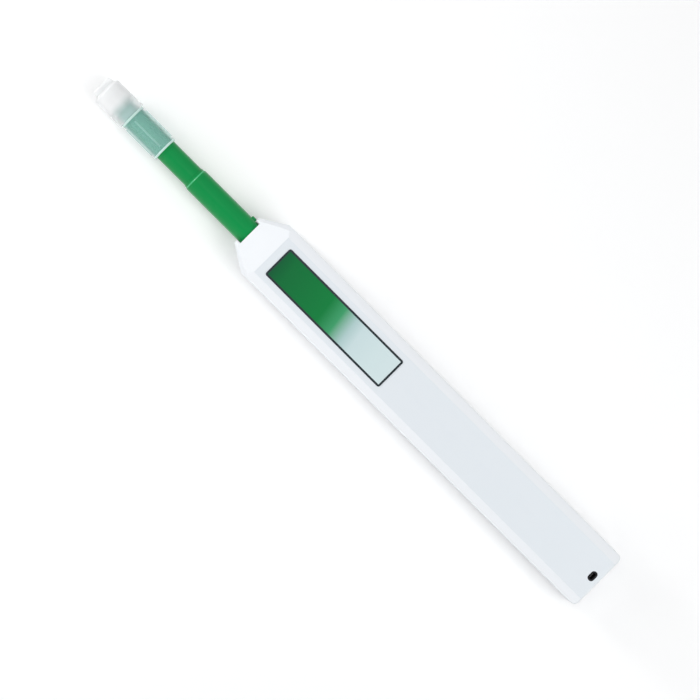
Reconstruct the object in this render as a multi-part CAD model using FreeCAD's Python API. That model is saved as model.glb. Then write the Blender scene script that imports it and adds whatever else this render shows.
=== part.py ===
import FreeCAD, Part
import math
import os

V = FreeCAD.Vector

# Fibre connector cleaning pen, lying on its flat back. Millimetres.
# +X runs along the pen towards its tip, +Z is up out of the labelled face.

# ---- casing ----
body_length = 150.9       # rear end to the corner where the sides start to taper
nose_length = 8.5         # that corner to the tips of the two cheeks beside the mouth
body_width = 21.7
body_height = 18.0
bevel_run = 3.1           # long bevels, across the pen
bevel_drop = 0.9          # long bevels, down the side
nose_lead = 2.7           # the top starts to slope this far behind the side corners
nose_half_width = 5.6     # at the tips of the cheeks
nose_half_height = 4.6    # where the sloping top would reach the same plane
nose_bevel = 0.9          # edges of the nose at that plane, across the pen
nose_bevel_rear = 2.2     # the same where the top starts to slope
nose_bevel_slope = 0.8    # drop over run
cheek_reach = 1.5         # cheeks stand this far in front of the mouth
wall = 1.6
nose_block = 3.4          # solid nose behind the start of the slope
rib_gap = 4.0             # cross rib behind the supply reel
end_round = 1.8           # upright corners of the rear end
edge_round = 0.5          # outer edges of the two broad faces
seam_width = 0.3          # fine line where the two shells meet on the flat
seam_depth = 0.15
seam_rear_gap = 25.8      # the line fades out this far from the rear end
tongue = 0.6              # tongue and groove between the shells, square
tongue_gap = 0.1
pin_radius = 1.0          # locating pins that hold the shells together
pin_boss = 2.2            # half the side of the square bosses round the pins
pin_length = 3.0
pin_gap = 0.05

# ---- label and strap hole ----
label_length = 51.4
label_width = 11.6
label_thick = 0.15
label_round = 0.8
label_setback = 2.9       # behind the front end of the flat
strap_setback = 2.8       # centre of the strap hole in front of the rear end
strap_length = 3.6        # eyelet, across the pen
strap_width = 2.3
strap_wall = 0.6
strap_recess = 0.1        # below the faces of the casing
strap_column_wall = 1.5

# ---- nozzle ----
wide_reach = 24.3         # wide nozzle in front of the cheeks
wide_radius = 4.225
cone_length = 1.8
narrow_show = 12.6        # bare narrow nozzle between the cone and the cap
narrow_radius = 3.75
narrow_bore = 2.9
narrow_tail = 8.8         # reaches this far behind the lock button
tip_length = 6.0
tip_radius = 2.55
tip_bore = 1.75
step_gap = 0.2            # in front of the nozzle's steps, inside the guide cap
slide_gap = 0.05          # radial, narrow nozzle in wide nozzle
mouth_gap = 0.2           # radial, wide nozzle in the nose
flange_radius = 6.2
flange_thick = 2.7
flange_gap = 0.3
wide_end_bore = 1.55
thread_slot_half = 0.5
push_travel = 14.0
extend_travel = 20.0

# ---- lock button ----
button_length = 1.8
button_half = 1.2
button_proud = 0.6
button_front_gap = 0.2    # behind the button, to the cheek
button_round = 0.3
button_flange = 0.6
button_clear = 0.15
tongue_length = 4.3       # latch tongue inside the narrow nozzle
tongue_thick = 0.5
leaf_thick = 0.25
leaf_length = 9.0

# ---- guide cap and dust cap ----
sleeve_length = 14.7
sleeve_radius = 4.35
sleeve_gap = 0.07
rib_height = 0.2
rib_width = 0.55
rib_setback = 1.4
rim_width = 0.6
rim_height = 0.15
port_length = 10.4        # front of the guide cap, inside the dust cap
port_radius = 3.5
ferrule_bore = 1.26       # takes a 2.5 mm ferrule
port_wall = 3.4           # length of the ferrule bore
dust_length = 12.6
dust_radius = 5.0
dust_chamfer = 0.85
dust_gap = 0.1            # radial, on the port
dust_seat = 0.3
dust_inner_gap = 0.3
tab_length = 2.0
tab_width = 7.5
tab_thick = 3.2
tab_round = 1.0

# ---- carriage and return spring ----
hub_length = 6.0
slider_gap = 0.3
spring_length = 40.0
spring_radius = 4.3       # mean
spring_wire = 0.7
spring_turns = 8
coil_steps = 8            # straight runs to a turn
wire_sides = 4
bulkhead_thick = 3.0
rack_width = 2.8
rack_inner_y = 3.9
floor_gap = 0.3           # under the rack

# ---- gear, rack and reels ----
module = 0.6
root_depth = 1.25         # depth of a tooth below the pitch line, in modules
spare_teeth = 3           # rack teeth past each end of the travel
pressure_angle = 20.0
backlash = 0.1
flank_bend = 0.45         # middle point of a flank, from base circle to tip
gear_width = 2.2
wheel_rise = 0.8          # wheel axles above the nozzle's axis
post_radius = 1.5
run_gap = 0.06
boss_radius = 2.6
boss_gap = 0.3
reel_flange_thick = 1.0
reel_hub = 2.5
reel_inner_y = 3.0        # side of the take-up reel that faces its gear
reel_width = 7.8
gear_boss = 4.4
dog_circle = 3.6          # drive dogs, from the axle
dog_side = 1.1
dog_length = 0.8
takeup_wound = 3.4        # radius of the used thread
rim_show = 0.8            # reel flange outside the fresh thread
rim_gap = 0.6             # reel flange to the roof
reel_spacing = 26.0
takeup_gap = 7.8          # front of the reel to the pushed-in end of the cam shaft
ratchet_teeth = 15
ratchet_depth = 0.5
ratchet_land = 0.9        # part of a tooth's pitch that slopes
ratchet_thick = 1.0
pawl_length = 7.0
pawl_thick = 0.5
pawl_base = 3.0
pawl_rib = 1.0
pawl_gap = 0.12

# ---- cam shaft and cleaning head ----
cam_radius = 2.5
cam_tail = 3.5            # behind the key
groove_width = 1.3
groove_depth = 1.0
groove_end = 2.0          # groove past each end of the key's travel
key_radius = 0.55
key_gap = 0.15
collar_radius = 2.85
collar_thick = 1.5
quill_radius = 1.4        # front part, with a square bore for the head shaft
quill_bore = 1.25
quill_reach = 46.0
rod_side = 1.1
rod_length = 39.0
rod_overlap = 35.0
quill_depth = 37.0
stem_radius = 0.9
head_radius = 1.2
head_length = 3.1
head_proud = 0.8
bush_length = 2.3
bush_gap = 0.1
head_spring_radius = 2.6  # mean
head_spring_wire = 0.3
head_spring_length = 11.0
head_spring_turns = 5
spring_stop_bore = 2.4
spring_stop_length = 1.2
neck_depth = 0.2          # the bush sits in a neck of the stem
neck_gap = 0.05
shoulder_wall = 0.9       # behind the nozzle's step
thread_radius = 0.2       # half its thickness
thread_rear_offset = 3.1  # from the axis, beside the cam
thread_front_offset = 2.1
thread_tip_offset = 1.35
thread_head_offset = 1.0
thread_clear = 1.5        # past the walls that it runs through

# ---- places worked out from the sizes ----
axis_z = body_height / 2
wheel_z = axis_z + wheel_rise
reel_flange = body_height - wall - rim_gap - wheel_z
supply_wound = reel_flange - rim_show
gear_teeth = round(2 * reel_flange / module) - 2
total_length = (body_length + nose_length + wide_reach + narrow_show
                + sleeve_length + dust_length + tab_length)
rear_x = -total_length / 2
corner_x = rear_x + body_length
nose_x = corner_x + nose_length
slope_x = corner_x - nose_lead
mouth_x = nose_x - cheek_reach
chamber_front_x = slope_x - nose_block
hub_front_x = chamber_front_x - flange_gap - flange_thick
hub_rear_x = hub_front_x - hub_length
bulkhead_front_x = hub_rear_x - spring_length
bulkhead_rear_x = bulkhead_front_x - bulkhead_thick
key_x = bulkhead_front_x - bulkhead_thick / 2
cam_end_x = key_x - cam_tail
takeup_x = cam_end_x - push_travel - takeup_gap - reel_flange
supply_x = takeup_x - reel_spacing
cone_end_x = nose_x + wide_reach
cap_rear_x = cone_end_x + narrow_show
sleeve_end_x = cap_rear_x + sleeve_length
dust_end_x = sleeve_end_x + dust_length
step_x = sleeve_end_x - step_gap
shoulder_x = step_x - shoulder_wall
bush_front_x = shoulder_x - bush_gap
bush_rear_x = bush_front_x - bush_length
tip_x = step_x + tip_length
head_x = tip_x + head_proud
port_end_x = sleeve_end_x + port_length
button_x = nose_x + button_front_gap
narrow_rear_x = button_x - narrow_tail
mouth_radius = wide_radius + mouth_gap
wide_bore = narrow_radius + slide_gap
pitch_radius = module * gear_teeth / 2
strap_x = rear_x + strap_setback
label_front_x = slope_x - label_setback
label_rear_x = label_front_x - label_length
gear_inner_y = rack_inner_y + (rack_width - gear_width) / 2
reel_outer_y = reel_inner_y - reel_width
rib_x = supply_x - reel_flange - rib_gap
pin_places = [(strap_x + rib_x - wall) / 2, (takeup_x + supply_x) / 2]


def box(x0, x1, y0, y1, z0, z1):
    return Part.makeBox(x1 - x0, y1 - y0, z1 - z0, V(x0, y0, z0))


def rod_x(x0, x1, radius, y=0.0, z=axis_z):
    return Part.makeCylinder(radius, x1 - x0, V(x0, y, z), V(1, 0, 0))


def rod_y(y0, y1, radius, x, z):
    return Part.makeCylinder(radius, y1 - y0, V(x, y0, z), V(0, 1, 0))


def turned(profile):
    """Solid of revolution about the pen's axis from (x, radius) points."""
    points = [V(x, 0, axis_z + r) for x, r in profile]
    face = Part.Face(Part.makePolygon(points + points[:1]))
    return face.revolve(V(0, 0, axis_z), V(1, 0, 0), 360)


def section(x, half_width, half_height, flat_half, side_half):
    """Corners of an eight-sided section about the pen's axis."""
    corners = [(flat_half, half_height), (half_width, side_half)]
    corners += [(y, -z) for y, z in reversed(corners)]
    corners += [(-y, -z) for y, z in corners]
    return [V(x, y, axis_z + z) for y, z in corners]


def frustum(rear, front):
    """Solid between two sections with matching corners."""
    faces = [Part.Face(Part.makePolygon(s + s[:1])) for s in (rear, front)]
    count = len(rear)
    for i in range(count):
        j = (i + 1) % count
        quad = [rear[i], rear[j], front[j], front[i], rear[i]]
        faces.append(Part.Face(Part.makePolygon(quad)))
    return Part.makeSolid(Part.makeShell(faces))


def casing_section(x, inset=0.0):
    """Section of the casing at x, moved in from its outer faces by inset."""
    bevel_span = math.hypot(bevel_run, bevel_drop)
    half_width = body_width / 2 - inset
    half_height = body_height / 2 - inset
    reach = bevel_drop * body_width / 2 + bevel_run * (body_height / 2 - bevel_drop)
    reach -= inset * bevel_span
    flat_half = (reach - bevel_run * half_height) / bevel_drop
    side_half = (reach - bevel_drop * half_width) / bevel_run
    return section(x, half_width, half_height, flat_half, side_half)


def casing_prism(x0, x1, inset=0.0):
    return frustum(casing_section(x0, inset), casing_section(x1, inset))


def nose_section(x, half_width, half_height, bevel):
    return section(x, half_width, half_height,
                   half_width - bevel, half_height - bevel * nose_bevel_slope)


def nose_wedge():
    """Tapering envelope of the nose; its edge bevels narrow towards the mouth."""
    flare = (body_width / 2 - nose_half_width) / nose_length
    half_width = body_width / 2 + flare * nose_lead
    rear = nose_section(slope_x, half_width, body_height / 2, nose_bevel_rear)
    front = nose_section(nose_x, nose_half_width, nose_half_height, nose_bevel)
    return frustum(rear, front)


def casing_outside():
    straight = casing_prism(rear_x, slope_x)
    nose = casing_prism(slope_x, nose_x).common(nose_wedge())
    outside = straight.fuse(nose).removeSplitter()
    near = 0.01
    corners = [e for e in outside.Edges
               if e.BoundBox.XMax < rear_x + near and e.BoundBox.ZLength > body_height / 2]
    outside = outside.makeFillet(end_round, corners)
    rims = []
    for edge in outside.Edges:
        bound = edge.BoundBox
        outer = max(abs(bound.YMin), abs(bound.YMax)) > body_width / 2 - near
        if outer and bound.XLength > body_length / 2:
            rims.append(edge)
        elif bound.XMax < rear_x + near and bound.ZLength < body_height / 2:
            rims.append(edge)
    return outside.makeFillet(edge_round, rims)


def eyelet_shape(grow, z0, z1):
    """Column with the strap eyelet's rounded outline, grown by an offset."""
    radius = strap_width / 2 + grow
    half = (strap_length - strap_width) / 2
    column = box(strap_x - radius, strap_x + radius, -half, half, z0, z1)
    for y in (-half, half):
        column = column.fuse(Part.makeCylinder(radius, z1 - z0, V(strap_x, y, z0)))
    return column.removeSplitter()


def mouth_cut():
    """Bore through the nose, the button's keyway and the relief between the cheeks."""
    margin = 1.0
    cut = rod_x(chamber_front_x - margin, nose_x + margin, mouth_radius)
    half = button_half + button_clear
    depth = wide_radius + button_proud + button_clear
    key = box(chamber_front_x - margin, nose_x + margin, -depth, 0, axis_z - half, axis_z + half)
    relief = box(mouth_x, nose_x + margin, -mouth_radius, mouth_radius, 0, body_height)
    return cut.fuse([key, relief])


def bulkhead_cut():
    """Openings in the bulkhead for the cam shaft, the thread and the rack."""
    margin = 0.5
    x0 = bulkhead_rear_x - margin
    x1 = bulkhead_front_x + margin
    reach = thread_rear_offset + thread_slot_half
    bore = rod_x(x0, x1, cam_radius + slider_gap)
    slot = box(x0, x1, -thread_slot_half, thread_slot_half, axis_z - reach, axis_z + reach)
    top = wheel_z - pitch_radius + module + slider_gap
    window = box(x0, x1, rack_inner_y - slider_gap, rack_inner_y + rack_width + slider_gap,
                 wall, top)
    return bore.fuse([slot, window])


def casing_hollow():
    """Casing with its chambers cut out, before it is split into shells."""
    chambers = [
        casing_prism(bulkhead_front_x, chamber_front_x, wall),
        casing_prism(rib_x, bulkhead_rear_x, wall),
        casing_prism(rear_x + wall, rib_x - wall, wall),
    ]
    chambers[2] = chambers[2].cut(eyelet_shape(strap_column_wall, 0, body_height))
    seam = box(rear_x + seam_rear_gap, label_rear_x, -seam_width / 2, seam_width / 2,
               body_height - seam_depth, body_height + 1)
    cuts = chambers + [mouth_cut(), bulkhead_cut(), eyelet_shape(0, -1, body_height + 1), seam]
    return casing_outside().cut(cuts)


def shell_tongue(grow):
    """Tongue round the seam, in the middle of the wall."""
    middle = (wall - tongue) / 2
    x0 = rear_x + middle - grow
    x1 = chamber_front_x
    ring = casing_prism(x0, x1, middle - grow)
    ring = ring.cut(casing_prism(x0 + tongue + 2 * grow, x1 + 1, middle + tongue + grow))
    strip = box(rear_x, x1, -tongue - grow, 0, 0, body_height)
    tongue_ring = ring.common(strip)
    column = strap_column_wall + tongue_gap - grow
    return tongue_ring.cut(eyelet_shape(column, -1, body_height + 1))


def wheel_post(x, boss_end_y):
    """Moulded axle post and its boss on the left shell."""
    inside_y = body_width / 2 - wall / 2
    boss = rod_y(boss_end_y, inside_y, boss_radius, x, wheel_z)
    post = rod_y(-body_width / 2 + 2 * wall, inside_y, post_radius, x, wheel_z)
    return boss.fuse(post)


def wheel_socket(x, boss_end_y):
    """Boss on the right shell that takes the end of an axle post."""
    boss = rod_y(-body_width / 2 + wall / 2, boss_end_y, boss_radius, x, wheel_z)
    bore = rod_y(-body_width / 2 + 2 * wall - pin_gap, 0, post_radius + pin_gap, x, wheel_z)
    return boss.cut(bore)


def left_shell():
    keep = box(rear_x - 1, nose_x + 1, 0, body_width, -1, body_height + 1)
    shell = casing_hollow().common(keep)
    inside_y = body_width / 2 - wall / 2
    gear_side = gear_inner_y + gear_width + boss_gap
    supply_side = reel_inner_y + boss_gap
    parts = [shell_tongue(0.0), wheel_post(takeup_x, gear_side), wheel_post(supply_x, supply_side)]
    for x in pin_places:
        parts.append(box(x - pin_boss, x + pin_boss, 0, inside_y,
                         axis_z - pin_boss, axis_z + pin_boss))
        parts.append(rod_y(-pin_length, inside_y, pin_radius, x, axis_z))
    key_end = cam_radius - groove_depth + key_gap
    parts.append(rod_y(key_end, inside_y, key_radius, key_x, axis_z))
    return shell.fuse(parts).removeSplitter()


def right_shell():
    keep = box(rear_x - 1, nose_x + 1, -body_width, 0, -1, body_height + 1)
    shell = casing_hollow().common(keep)
    inside_y = -body_width / 2 + wall / 2
    end_y = reel_outer_y - boss_gap
    parts = [wheel_socket(takeup_x, end_y), wheel_socket(supply_x, end_y)]
    for x in pin_places:
        parts.append(box(x - pin_boss, x + pin_boss, inside_y, 0,
                         axis_z - pin_boss, axis_z + pin_boss))
    shell = shell.fuse(parts + pawl_cradle())
    cuts = [shell_tongue(tongue_gap)]
    for x in pin_places:
        cuts.append(rod_y(-pin_length - pin_gap, 1, pin_radius + pin_gap, x, axis_z))
    return shell.cut(cuts).removeSplitter()


def label():
    half = label_width / 2
    plate = box(label_rear_x, label_front_x, -half, half, body_height, body_height + label_thick)
    corners = [e for e in plate.Edges if e.BoundBox.ZLength > label_thick / 2]
    return plate.makeFillet(label_round, corners)


def strap_eyelet():
    outside = eyelet_shape(0, strap_recess, body_height - strap_recess)
    return outside.cut(eyelet_shape(-strap_wall, -1, body_height + 1))


def coil(x0, length, mean_radius, wire, turns):
    """Compression spring along the pen's axis, lofted through sections of its wire."""
    rise = (length - wire) / turns
    climb = math.atan2(rise, 2 * math.pi * mean_radius)
    rings = []
    for k in range(turns * coil_steps + 1):
        turn = 2 * math.pi * k / coil_steps
        radial = V(0, math.cos(turn), math.sin(turn))
        across = V(math.cos(climb), math.sin(climb) * math.sin(turn),
                   -math.sin(climb) * math.cos(turn))
        middle = V(x0 + wire / 2 + rise * k / coil_steps, 0, axis_z) + radial * mean_radius
        ring = []
        for side in range(wire_sides):
            angle = 2 * math.pi * side / wire_sides
            ring.append(middle + radial * (math.cos(angle) * wire / 2)
                        + across * (math.sin(angle) * wire / 2))
        rings.append(Part.makePolygon(ring + ring[:1]))
    return Part.makeLoft(rings, True, True)


def return_spring():
    return coil(bulkhead_front_x, spring_length, spring_radius, spring_wire, spring_turns)


def rack_profile():
    """Side outline of the rack bar with its row of straight-flanked teeth."""
    pitch = math.pi * module
    line_z = wheel_z - pitch_radius
    slope = math.tan(math.radians(pressure_angle))
    top_z = line_z + module
    root_z = line_z - root_depth * module
    half_mid = pitch / 4 - backlash / 2
    half_top = half_mid - module * slope
    half_root = half_mid + root_depth * module * slope
    floor_z = wall + floor_gap
    rear_teeth = spare_teeth
    front_teeth = math.ceil(push_travel / pitch) + spare_teeth
    points = [(takeup_x - rear_teeth * pitch - pitch, root_z)]
    for k in range(-rear_teeth, front_teeth + 1):
        x = takeup_x + k * pitch
        points += [(x - half_root, root_z), (x - half_top, top_z)]
        points += [(x + half_top, top_z), (x + half_root, root_z)]
    points += [(hub_rear_x, root_z), (hub_rear_x, floor_z), (points[0][0], floor_z)]
    return [V(x, rack_inner_y, z) for x, z in points]


def thread_slots(x0, x1, inner, outer):
    """A slot above and below the axis for the two runs of thread."""
    half = thread_slot_half
    upper = box(x0, x1, -half, half, axis_z + inner, axis_z + outer)
    lower = box(x0, x1, -half, half, axis_z - outer, axis_z - inner)
    return [upper, lower]


def carriage():
    hub = casing_prism(hub_rear_x, hub_front_x, wall + slider_gap)
    outline = rack_profile()
    bar = Part.Face(Part.makePolygon(outline + outline[:1])).extrude(V(0, rack_width, 0))
    body = hub.fuse(bar)
    cuts = [rod_x(hub_rear_x - 1, hub_front_x + 1, cam_radius + run_gap)]
    cuts.append(rod_x(hub_front_x - collar_thick - run_gap, hub_front_x + 1,
                      collar_radius + run_gap))
    cuts += thread_slots(hub_rear_x - 1, hub_front_x + 1, 0, thread_rear_offset + thread_slot_half)
    return body.cut(cuts).removeSplitter()


def outer_nozzle():
    """Wide green tube with its end wall, flange, cone and button window."""
    flange_x = hub_front_x + flange_thick
    cone_x = cone_end_x - cone_length
    lip = narrow_radius + (wide_radius - narrow_radius) / 3
    body = turned([
        (hub_front_x, wide_end_bore), (flange_x, wide_end_bore), (flange_x, wide_bore),
        (cone_end_x, wide_bore), (cone_end_x, lip), (cone_x, wide_radius),
        (flange_x, wide_radius), (flange_x, flange_radius), (hub_front_x, flange_radius),
    ])
    half = button_half + button_clear
    window = box(button_x - button_clear, button_x + button_length + button_clear,
                 -wide_radius - 1, -wide_bore + 1, axis_z - half, axis_z + half)
    slots = thread_slots(hub_front_x - 1, flange_x + 1, 0, thread_rear_offset + thread_slot_half)
    return body.cut([window] + slots)


def nozzle_tube():
    """Narrow green tube: slotted tail, spring stop, step and tip."""
    stop_x = bush_rear_x - head_spring_length
    body = turned([
        (narrow_rear_x, narrow_bore), (stop_x - spring_stop_length, narrow_bore),
        (stop_x - spring_stop_length, spring_stop_bore), (stop_x, spring_stop_bore),
        (stop_x, narrow_bore), (shoulder_x, narrow_bore), (shoulder_x, tip_bore),
        (tip_x, tip_bore), (tip_x, tip_radius), (step_x, tip_radius), (step_x, narrow_radius),
        (narrow_rear_x, narrow_radius),
    ])
    half = button_half + button_flange
    tail = box(narrow_rear_x - 1, button_x + button_length + button_flange + button_clear,
               -narrow_radius - 1, 0, axis_z - half, axis_z + half)
    catch_x = button_x + button_length + button_flange + tongue_length
    catch = box(catch_x - 2 * tongue_thick, catch_x, -narrow_radius - 1, 0,
                axis_z - button_half, axis_z + button_half)
    return body.cut([tail, catch])


def lock_button():
    """Button pad with its inner flange and the latch tongue it releases."""
    outer_y = -wide_radius - button_proud
    under_y = -narrow_bore + 2 * button_clear
    pad = box(button_x, button_x + button_length, outer_y, under_y,
              axis_z - button_half, axis_z + button_half)
    crown = [e for e in pad.Edges if e.BoundBox.YMax < outer_y + 0.01]
    pad = pad.makeFillet(button_round, crown)
    half = button_half + button_flange - button_clear
    flange_top = -math.sqrt(wide_bore ** 2 - half ** 2) + button_clear
    flange = box(button_x - button_flange + button_clear,
                 button_x + button_length + button_flange, flange_top, under_y,
                 axis_z - half, axis_z + half)
    tongue_half = button_half - button_clear * 2
    tongue_y = -math.sqrt(narrow_bore ** 2 - tongue_half ** 2) + button_clear / 2
    tongue_x = button_x + button_length
    latch = box(tongue_x, tongue_x + button_flange + tongue_length, tongue_y,
                tongue_y + tongue_thick, axis_z - tongue_half, axis_z + tongue_half)
    return pad.fuse([flange, latch]).removeSplitter()


def lock_spring():
    """Bent leaf that presses the lock button outwards."""
    seat_y = -narrow_bore + 2 * button_clear + leaf_thick / 2 + slide_gap
    wall_y = -wide_bore + leaf_thick
    front_x = button_x + button_length
    foot_x = front_x - leaf_length
    spine = [(foot_x, wall_y), (foot_x + leaf_length / 3, wall_y),
             (button_x - button_flange, seat_y), (front_x, seat_y)]
    half = leaf_thick / 2
    upper = [V(x, y + half, axis_z - button_half / 2) for x, y in spine]
    lower = [V(x, y - half, axis_z - button_half / 2) for x, y in reversed(spine)]
    outline = upper + lower + upper[:1]
    return Part.Face(Part.makePolygon(outline)).extrude(V(0, 0, button_half))


def groove_cutter():
    """Half-turn helical groove that the key follows as the carriage is pushed in."""
    lead = 2 * push_travel
    length = push_travel + 2 * groove_end
    path_radius = cam_radius - groove_depth / 2
    climb = math.atan2(lead, 2 * math.pi * path_radius)
    half_width = groove_width / 2
    corners = []
    inner = cam_radius - groove_depth
    outer = cam_radius + groove_depth
    for radius, across in ((inner, -half_width), (outer, -half_width),
                           (outer, half_width), (inner, half_width)):
        corners.append(V(radius, -across * math.sin(climb), across * math.cos(climb)))
    profile = Part.makePolygon(corners + corners[:1])
    helix = Part.makeHelix(lead, length, path_radius)
    cutter = Part.Wire(helix.Edges).makePipeShell([profile], True, True)
    cutter.rotate(V(0, 0, 0), V(1, 1, 1), 120)
    cutter.rotate(V(0, 0, 0), V(1, 0, 0), -180 * groove_end / push_travel)
    cutter.translate(V(key_x - groove_end, 0, axis_z))
    return cutter


def cam_shaft():
    quill_end_x = hub_front_x + quill_reach
    body = turned([
        (cam_end_x, 0), (cam_end_x, cam_radius), (hub_front_x - collar_thick, cam_radius),
        (hub_front_x - collar_thick, collar_radius), (hub_front_x - run_gap, collar_radius),
        (hub_front_x - run_gap, quill_radius), (quill_end_x, quill_radius), (quill_end_x, 0),
    ])
    half = quill_bore / 2
    bore = box(quill_end_x - quill_depth, quill_end_x + 1, -half, half,
               axis_z - half, axis_z + half)
    return body.cut([bore, groove_cutter()])


def head_shaft():
    """Square rod that slides in the quill, then a round stem necked for the bush."""
    rod_x0 = hub_front_x + quill_reach - rod_overlap
    rod_x1 = rod_x0 + rod_length
    half = rod_side / 2
    rod = box(rod_x0, rod_x1, -half, half, axis_z - half, axis_z + half)
    neck = stem_radius - neck_depth
    stem = turned([
        (rod_x1, 0), (rod_x1, stem_radius), (bush_rear_x - neck_gap, stem_radius),
        (bush_rear_x - neck_gap, neck), (bush_front_x + neck_gap, neck),
        (bush_front_x + neck_gap, stem_radius), (head_x - head_length, stem_radius),
        (head_x - head_length, 0),
    ])
    return rod.fuse(stem)


def cleaning_head():
    """Soft head with a groove on each side and across its face for the thread."""
    rear = head_x - head_length
    bevel = head_radius / 4
    body = turned([(rear, 0), (rear, head_radius), (head_x - bevel, head_radius),
                   (head_x, head_radius - bevel), (head_x, 0)])
    half = thread_radius + run_gap
    floor = thread_head_offset - half
    return body.cut([
        box(rear - 1, head_x + 1, -half, half, axis_z + floor, axis_z + head_radius + 1),
        box(rear - 1, head_x + 1, -half, half, axis_z - head_radius - 1, axis_z - floor),
    ])


def head_bush():
    """Bush that carries the turning head shaft and takes the head spring."""
    outer = narrow_bore - bush_gap
    bore = stem_radius - neck_depth + run_gap
    body = turned([(bush_rear_x, bore), (bush_rear_x, outer), (bush_front_x, outer),
                   (bush_front_x, bore)])
    reach = thread_front_offset + thread_slot_half
    slots = thread_slots(bush_rear_x - 1, bush_front_x + 1, thread_tip_offset - thread_slot_half,
                         reach)
    return body.cut(slots)


def head_spring():
    return coil(bush_rear_x - head_spring_length, head_spring_length, head_spring_radius,
                head_spring_wire, head_spring_turns)


def wheel(profile, x):
    """Solid of revolution about a wheel axle from (y, radius) points."""
    points = [V(x + r, y, wheel_z) for y, r in profile]
    face = Part.Face(Part.makePolygon(points + points[:1]))
    return face.revolve(V(x, 0, wheel_z), V(0, 1, 0), 360)


def reel(x):
    """Thread spool: a hub between two flanges."""
    bore = post_radius + run_gap
    right_y = reel_outer_y + reel_flange_thick
    left_y = reel_inner_y - reel_flange_thick
    return wheel([
        (reel_outer_y, bore), (reel_outer_y, reel_flange), (right_y, reel_flange),
        (right_y, reel_hub), (left_y, reel_hub), (left_y, reel_flange),
        (reel_inner_y, reel_flange), (reel_inner_y, bore),
    ], x)


def winding(x, radius):
    right_y = reel_outer_y + reel_flange_thick
    left_y = reel_inner_y - reel_flange_thick
    return wheel([(right_y, reel_hub), (right_y, radius), (left_y, radius), (left_y, reel_hub)], x)


def around(x, radius, angle, y):
    """Point on a circle about a wheel axle, angle from +X towards +Z."""
    turn = math.radians(angle)
    return V(x + radius * math.cos(turn), y, wheel_z + radius * math.sin(turn))


def dogs(y0, y1, grow=0.0):
    """The pair of square dogs by which the gear drives the take-up reel."""
    half = dog_side / 2 + grow
    pair = []
    for side in (-1, 1):
        x = takeup_x + side * dog_circle
        pair.append(box(x - half, x + half, y0, y1, wheel_z - half, wheel_z + half))
    return pair


def take_up_reel():
    """Spool with saw teeth round its right flange for the click pawl."""
    spool = reel(takeup_x)
    spool = spool.cut(dogs(0, reel_inner_y + 1, run_gap))
    step = 360 / ratchet_teeth
    root = reel_flange - ratchet_depth
    rim = reel_flange + ratchet_depth
    y0 = reel_outer_y - 1
    notches = []
    for k in range(ratchet_teeth):
        angle = k * step
        corners = [around(takeup_x, root, angle, y0), around(takeup_x, rim, angle, y0),
                   around(takeup_x, rim, angle + step, y0),
                   around(takeup_x, reel_flange, angle + ratchet_land * step, y0)]
        face = Part.Face(Part.makePolygon(corners + corners[:1]))
        notches.append(face.extrude(V(0, reel_flange_thick + 1, 0)))
    return spool.cut(notches)


def gear_tooth_half_angle(radius):
    """Half the angle that a tooth spans at a radius, from its involute flanks."""
    base = pitch_radius * math.cos(math.radians(pressure_angle))
    at_pitch = math.radians(pressure_angle)
    at_radius = math.acos(min(1.0, base / radius))
    half_pitch = (math.pi * module / 2 - backlash / 2) / (2 * pitch_radius)
    return (half_pitch + math.tan(at_pitch) - at_pitch
            - (math.tan(at_radius) - at_radius))


def gear_outline(y):
    """Closed outline of the spur gear, with a tooth space facing the rack."""
    base = pitch_radius * math.cos(math.radians(pressure_angle))
    root = pitch_radius - root_depth * module
    tip = pitch_radius + module
    flank = [root, base, base + (tip - base) * flank_bend, tip]
    points = []
    for k in range(gear_teeth):
        middle = math.radians(-90 + (k + 0.5) * 360 / gear_teeth)
        rising = [(r, middle - gear_tooth_half_angle(max(r, base))) for r in flank]
        falling = [(r, 2 * middle - a) for r, a in reversed(rising)]
        for radius, angle in rising + falling:
            points.append(around(takeup_x, radius, math.degrees(angle), y))
    return Part.makePolygon(points + points[:1])


def drive_gear():
    """Spur gear driven by the rack, with a boss and dogs against the take-up reel."""
    disc = Part.Face(gear_outline(gear_inner_y)).extrude(V(0, gear_width, 0))
    boss = rod_y(reel_inner_y, gear_inner_y, gear_boss, takeup_x, wheel_z)
    bore = rod_y(0, body_width, post_radius + run_gap, takeup_x, wheel_z)
    lugs = dogs(reel_inner_y - dog_length, reel_inner_y)
    return disc.fuse([boss] + lugs).cut(bore).removeSplitter()


def pawl_base_x():
    return takeup_x + reel_flange + pawl_length


def click_pawl():
    """Springy finger that clicks over the take-up reel's saw teeth."""
    y0 = reel_outer_y
    y1 = reel_outer_y + reel_flange_thick
    base_x = pawl_base_x()
    tip = takeup_x + reel_flange - ratchet_depth + pawl_gap
    low = wheel_z + pawl_gap
    high = low + pawl_thick
    outline = [V(tip, y0, low), V(base_x, y0, low), V(base_x, y0, high),
               V(tip + pawl_thick, y0, high)]
    finger = Part.Face(Part.makePolygon(outline + outline[:1])).extrude(V(0, y1 - y0, 0))
    foot = box(base_x, base_x + pawl_base, -body_width / 2 + wall, y1,
               low - pawl_thick, high + pawl_thick)
    return finger.fuse(foot).removeSplitter()


def pawl_cradle():
    """Pair of ribs on the right shell that hold the pawl's foot."""
    base_x = pawl_base_x()
    low = wheel_z + pawl_gap - 2 * pawl_thick
    high = wheel_z + pawl_gap + 3 * pawl_thick
    ribs = []
    for x in (base_x - pin_gap - pawl_rib, base_x + pawl_base + pin_gap):
        ribs.append(box(x, x + pawl_rib, -body_width / 2 + wall / 2,
                        reel_outer_y - boss_gap, low, high))
    return ribs


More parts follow.
